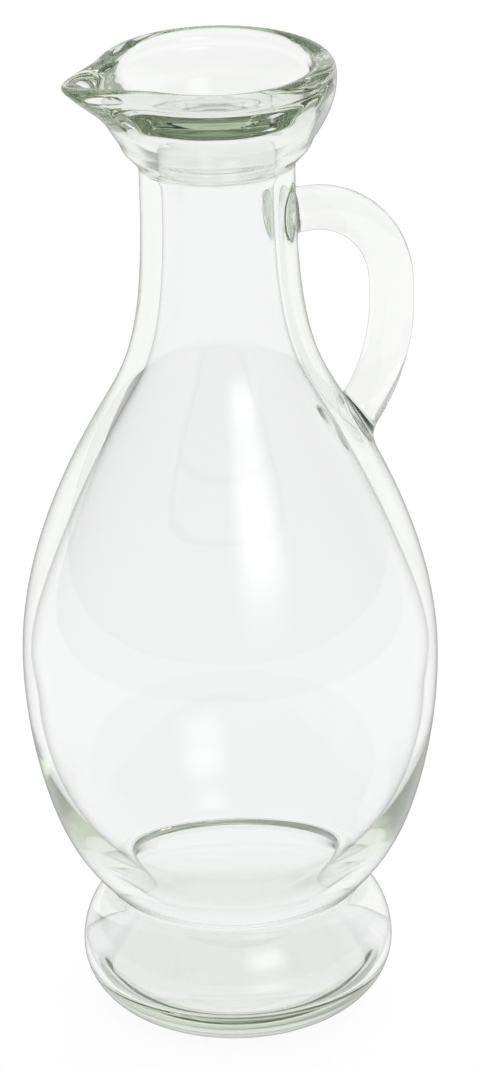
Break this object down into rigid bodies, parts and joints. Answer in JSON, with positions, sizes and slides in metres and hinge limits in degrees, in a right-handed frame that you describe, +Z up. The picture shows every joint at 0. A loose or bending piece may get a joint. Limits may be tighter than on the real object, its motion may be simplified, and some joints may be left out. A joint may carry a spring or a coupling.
{
  "type": "handled glass pouring bottle",
  "caption": "Clear glass bottle with an egg-shaped belly on a pinched foot, a slim neck, a flared collar drawn out into a pouring beak and a round side handle.",
  "frame": {"origin": "middle of the base on the bottle's axis, in the plane that it stands on", "axes": "+Z up along the bottle's axis; +X towards the handle, with the pouring beak on -X"},
  "size_m": [0.0914, 0.0914, 0.221],
  "materials": {
    "glass": "polished"
  },
  "bodies": {
    "root": {"bottle": "glass"}
  },
  "joints": []
}
